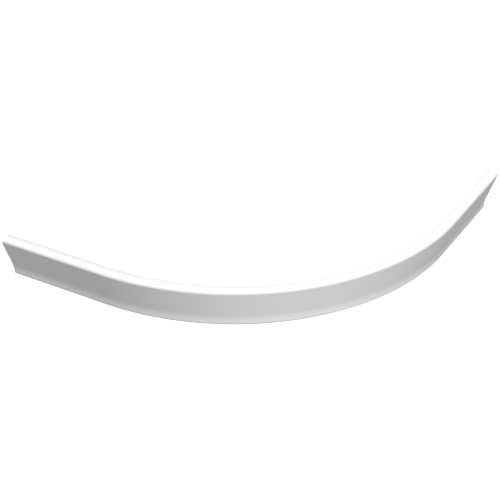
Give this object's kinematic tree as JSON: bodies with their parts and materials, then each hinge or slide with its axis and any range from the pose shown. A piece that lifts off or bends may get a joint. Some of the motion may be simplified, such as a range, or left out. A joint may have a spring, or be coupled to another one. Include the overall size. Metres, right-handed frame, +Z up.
{
  "type": "shower tray front panel",
  "caption": "Curved white acrylic front panel for a quadrant shower tray, with a top flange, a leaning face, sliding leg clips and slotted wall angles.",
  "frame": {"origin": "on the floor, at the middle of the panel's box", "axes": "+X to the right along the front, -Y to the front, +Z up"},
  "size_m": [1.1274, 0.3758, 0.0975],
  "materials": {
    "acrylic": "glossy white acrylic",
    "laminate": "sprayed glass-fibre laminate",
    "seal": "soft pale strip",
    "plywood": "bare birch plywood",
    "rail_plastic": "moulded white plastic",
    "clip_plastic": "moulded grey plastic",
    "zinc": "zinc-plated steel"
  },
  "bodies": {
    "panel": {"apron_shell": "acrylic", "grp_backing": "laminate", "floor_seal": "seal", "clip_block_1": "plywood", "clip_block_2": "plywood", "clip_block_3": "plywood", "clip_block_4": "plywood", "clip_rail_1": "rail_plastic", "clip_rail_2": "rail_plastic", "clip_rail_3": "rail_plastic", "clip_rail_4": "rail_plastic", "end_block_left": "plywood", "end_block_right": "plywood", "rail_screws": "zinc", "angle_screws": "zinc", "angle_washers": "zinc"},
    "leg_clip_1": {"leg_clip_1": "clip_plastic"},
    "leg_clip_2": {"leg_clip_2": "clip_plastic"},
    "leg_clip_3": {"leg_clip_3": "clip_plastic"},
    "leg_clip_4": {"leg_clip_4": "clip_plastic"},
    "wall_angle_left": {"wall_angle_left": "zinc"},
    "wall_angle_right": {"wall_angle_right": "zinc"}
  },
  "joints": [
    {"name": "leg_clip_1_slide", "type": "slide", "parent": "panel", "child": "leg_clip_1", "axis": [0.866, -0.5, 0], "range_m": [-0.012, 0.012]},
    {"name": "leg_clip_2_slide", "type": "slide", "parent": "panel", "child": "leg_clip_2", "axis": [0.9848, -0.1736, 0], "range_m": [-0.012, 0.012]},
    {"name": "leg_clip_3_slide", "type": "slide", "parent": "panel", "child": "leg_clip_3", "axis": [0.9848, 0.1736, 0], "range_m": [-0.012, 0.012]},
    {"name": "leg_clip_4_slide", "type": "slide", "parent": "panel", "child": "leg_clip_4", "axis": [0.866, 0.5, 0], "range_m": [-0.012, 0.012]},
    {"name": "wall_angle_left_slide", "type": "slide", "parent": "panel", "child": "wall_angle_left", "axis": [-0.7071, 0.7071, 0], "range_m": [-0.006, 0.006]},
    {"name": "wall_angle_right_slide", "type": "slide", "parent": "panel", "child": "wall_angle_right", "axis": [0.7071, 0.7071, 0], "range_m": [-0.006, 0.006]}
  ]
}
